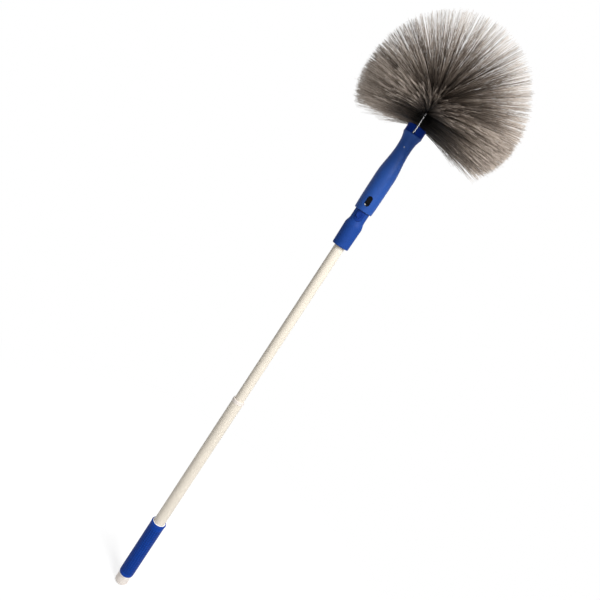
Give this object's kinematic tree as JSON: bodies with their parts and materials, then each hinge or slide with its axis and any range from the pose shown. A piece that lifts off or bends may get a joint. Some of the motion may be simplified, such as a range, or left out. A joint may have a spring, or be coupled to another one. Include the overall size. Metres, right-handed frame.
{
  "type": "cobweb brush",
  "caption": "Round bristle head on a moulded handle that snaps onto a two-part telescopic pole with a twist lock and a hand grip, for dusting ceilings and corners.",
  "frame": {"origin": "centre of the end cap's flat end face, on the pole's axis", "axes": "+Z along the pole from the end cap to the bristle head; -Y towards the front, where the release pad and the handle's oval slot are; +X to the right seen from the front"},
  "size_m": [0.3024, 0.3267, 1.3333],
  "materials": {
    "enamel": "cream enamel, satin gloss",
    "cream_plastic": "moulded, smooth",
    "blue_grip": "moulded, finely textured",
    "blue_plastic": "moulded, fine satin grain",
    "dark_blue_plastic": "moulded, smooth",
    "grey_plastic": "moulded",
    "steel": "drawn wire, plain",
    "aluminium": "blind rivet, plain",
    "bristle": "stiff extruded filament"
  },
  "bodies": {
    "lower_pole": {"outer_tube": "enamel", "guide_bush": "cream_plastic", "grip_liner": "cream_plastic", "grip_sleeve": "blue_grip", "end_cap": "cream_plastic"},
    "lock_sleeve": {"expanding_sleeve": "grey_plastic"},
    "upper_pole": {"inner_tube": "enamel", "lock_plug": "grey_plastic", "plug_pin": "steel", "stop_washer": "steel", "stop_screw": "steel", "adaptor": "blue_plastic", "adaptor_rivet": "aluminium"},
    "release": {"release_clip": "dark_blue_plastic"},
    "brush_head": {"brush_handle": "blue_plastic", "crown_plug": "dark_blue_plastic", "anchor_pin": "steel", "wire_loop": "steel", "bristles": "bristle"}
  },
  "joints": [
    {"name": "pole_extension", "type": "slide", "parent": "lower_pole", "child": "lock_sleeve", "axis": [0, 0, 1], "range_m": [-0.367, 0]},
    {"name": "twist_lock", "type": "hinge", "parent": "lock_sleeve", "child": "upper_pole", "pos_m": [0, 0, 0.4432], "axis": [0, 0, 1], "range_deg": [-90, 0]},
    {"name": "release_press", "type": "hinge", "parent": "upper_pole", "child": "release", "pos_m": [0, -0.0098, 0.997], "axis": [1, 0, 0], "range_deg": [0, 5.5], "stiffness_Nm_per_rad": 5.8, "springref_deg": -1.72},
    {"name": "head_pull_off", "type": "slide", "parent": "upper_pole", "child": "brush_head", "axis": [0, 0, 1], "range_m": [0, 0.055], "deforming": ["release_clip"]}
  ]
}
